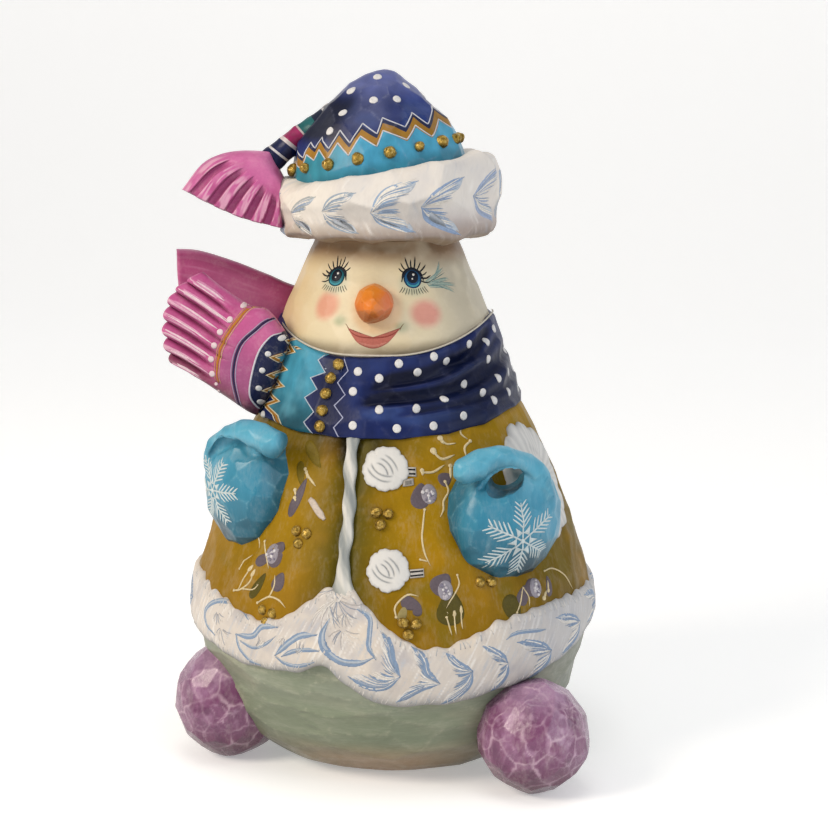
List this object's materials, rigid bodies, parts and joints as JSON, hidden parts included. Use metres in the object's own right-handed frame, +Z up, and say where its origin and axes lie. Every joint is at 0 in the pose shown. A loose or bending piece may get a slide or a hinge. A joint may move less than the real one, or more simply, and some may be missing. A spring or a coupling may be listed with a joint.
{
  "type": "wooden snowman figure",
  "caption": "Carved and painted wooden snowman with a knitted hat, a fringed scarf over one shoulder, a button coat, round mittens and ball feet.",
  "frame": {"origin": "centre of the flat base the body stands on, on the body's turning axis", "axes": "+Z up through the hat, -Y out through the nose, +X towards the figure's own left mitten"},
  "size_m": [0.1393, 0.132, 0.2203],
  "materials": {
    "body_paint": "painted coat, fur hem and snow base, satin",
    "face_paint": "painted, satin",
    "nose_paint": "painted, satin",
    "scarf_paint": "painted, satin, faceted by the knife",
    "fringe_paint": "painted and dry-brushed, satin",
    "fur_paint": "painted, satin",
    "crown_paint": "painted, satin",
    "mitten_paint": "painted, satin",
    "foot_paint": "painted crackle, satin",
    "gold_paint": "raised gold relief paint",
    "bare_wood": "bare wood"
  },
  "bodies": {
    "root": {"body": "body_paint", "head": "face_paint", "nose": "nose_paint", "scarf_wrap": "scarf_paint", "scarf_tail_front": "fringe_paint", "scarf_tail_back": "fringe_paint", "hat_brim": "fur_paint", "hat_crown": "crown_paint", "hat_tip": "crown_paint", "hat_tassel": "fringe_paint", "mitten_right": "mitten_paint", "mitten_left": "mitten_paint", "foot_right": "foot_paint", "foot_left": "foot_paint", "bead_coat_1": "gold_paint", "bead_coat_2": "gold_paint", "bead_coat_3": "gold_paint", "bead_coat_4": "gold_paint", "bead_coat_5": "gold_paint", "bead_coat_6": "gold_paint", "bead_coat_7": "gold_paint", "bead_coat_8": "gold_paint", "bead_coat_9": "gold_paint", "bead_coat_10": "gold_paint", "bead_coat_11": "gold_paint", "bead_coat_12": "gold_paint", "bead_coat_13": "gold_paint", "bead_coat_14": "gold_paint", "bead_hat_1": "gold_paint", "bead_hat_2": "gold_paint", "bead_hat_3": "gold_paint", "bead_hat_4": "gold_paint", "bead_hat_5": "gold_paint", "bead_hat_6": "gold_paint", "bead_hat_7": "gold_paint", "bead_hat_8": "gold_paint", "bead_hat_9": "gold_paint", "bead_hat_10": "gold_paint", "bead_hat_11": "gold_paint", "bead_hat_12": "gold_paint", "bead_hat_13": "gold_paint", "bead_hat_14": "gold_paint", "bead_hat_15": "gold_paint", "bead_hat_16": "gold_paint", "bead_hat_17": "gold_paint", "bead_scarf_1": "gold_paint", "bead_scarf_2": "gold_paint", "bead_scarf_3": "gold_paint", "bead_scarf_4": "gold_paint", "bead_scarf_5": "gold_paint", "dowel_foot_left": "bare_wood", "dowel_foot_right": "bare_wood", "dowel_hat_tip": "bare_wood", "dowel_mitten_left": "bare_wood", "dowel_mitten_right": "bare_wood", "dowel_scarf_back": "bare_wood", "dowel_scarf_front": "bare_wood", "dowel_spine": "bare_wood", "dowel_tassel": "bare_wood"}
  },
  "joints": []
}
